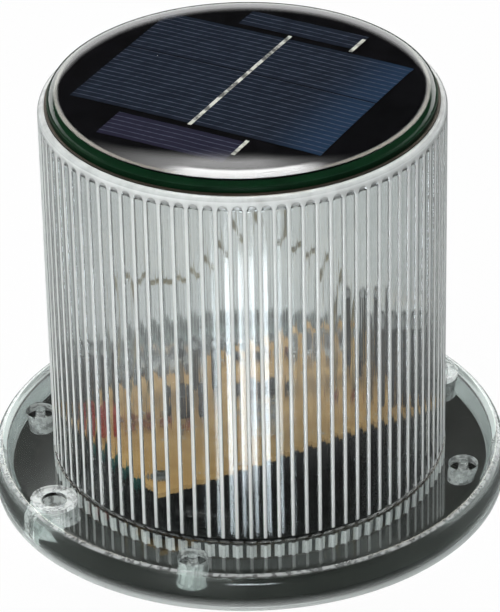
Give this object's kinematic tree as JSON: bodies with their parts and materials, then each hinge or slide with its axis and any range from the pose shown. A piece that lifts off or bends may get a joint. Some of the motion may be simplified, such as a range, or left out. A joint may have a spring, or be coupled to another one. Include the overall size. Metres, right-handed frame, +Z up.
{
  "type": "solar barricade warning light",
  "caption": "Clear ribbed cylindrical warning light on a bolt-down flange, with a round solar module on top, emitters, board and cells inside, and a recessed power button underneath.",
  "frame": {"origin": "centre of the flange's underside", "axes": "+Z up along the lens axis, X through the two mounting holes"},
  "size_m": [0.156, 0.156, 0.1335],
  "materials": {
    "clear_polycarbonate": "clear, polished",
    "clear_resin": "clear, polished",
    "led_resin": "clear, polished",
    "dark_rubber": "matt",
    "green_board": "glossy lacquer",
    "black_sheet": "satin",
    "silicon": "dark blue with fine silver fingers",
    "silver_ribbon": "tinned, uneven",
    "amber_wire": "smooth insulation",
    "tan_board": "paper laminate",
    "black_nylon": "moulded",
    "bright_steel": "zinc plated",
    "tinned_wire": "tinned",
    "can_aluminium": "drawn",
    "black_sleeve": "shrunk film",
    "red_epoxy": "dipped",
    "resistor_coat": "lacquer",
    "chip_black": "moulded epoxy",
    "ferrite": "matt",
    "cell_can": "nickel plated",
    "teal_wrap": "shrunk film",
    "nickel_strip": "rolled",
    "lead_insulation": "smooth insulation",
    "black_abs": "moulded",
    "grey_abs": "moulded",
    "terminal_brass": "stamped",
    "red_plastic": "moulded"
  },
  "bodies": {
    "light": {"lens_housing": "clear_polycarbonate", "solar_seal": "dark_rubber", "solar_board": "green_board", "solar_backing": "black_sheet", "solar_cells": "silicon", "cell_busbars": "silver_ribbon", "solar_encapsulant": "clear_resin", "panel_leads": "amber_wire", "control_board": "tan_board", "board_standoffs": "black_nylon", "board_screws": "bright_steel", "led_lenses": "led_resin", "led_leads": "tinned_wire", "capacitor_cans": "can_aluminium", "capacitor_sleeves": "black_sleeve", "film_capacitor": "red_epoxy", "resistor_bodies": "resistor_coat", "component_leads": "tinned_wire", "control_chip": "chip_black", "transistors": "chip_black", "blocking_diode": "chip_black", "inductor": "ferrite", "battery_cans": "cell_can", "battery_wraps": "teal_wrap", "cell_tabs": "nickel_strip", "battery_leads": "lead_insulation", "battery_tray": "black_abs", "base_plate": "grey_abs", "base_gasket": "dark_rubber", "base_screws": "bright_steel", "switch_body": "black_abs", "switch_washer": "dark_rubber", "switch_nut": "bright_steel", "switch_terminals": "terminal_brass"},
    "button": {"switch_button": "red_plastic"}
  },
  "joints": [
    {"name": "power_button", "type": "slide", "parent": "light", "child": "button", "axis": [0, 0, 1], "range_m": [0, 0.002], "stiffness_N_per_m": 600, "springref_m": -0.001}
  ]
}
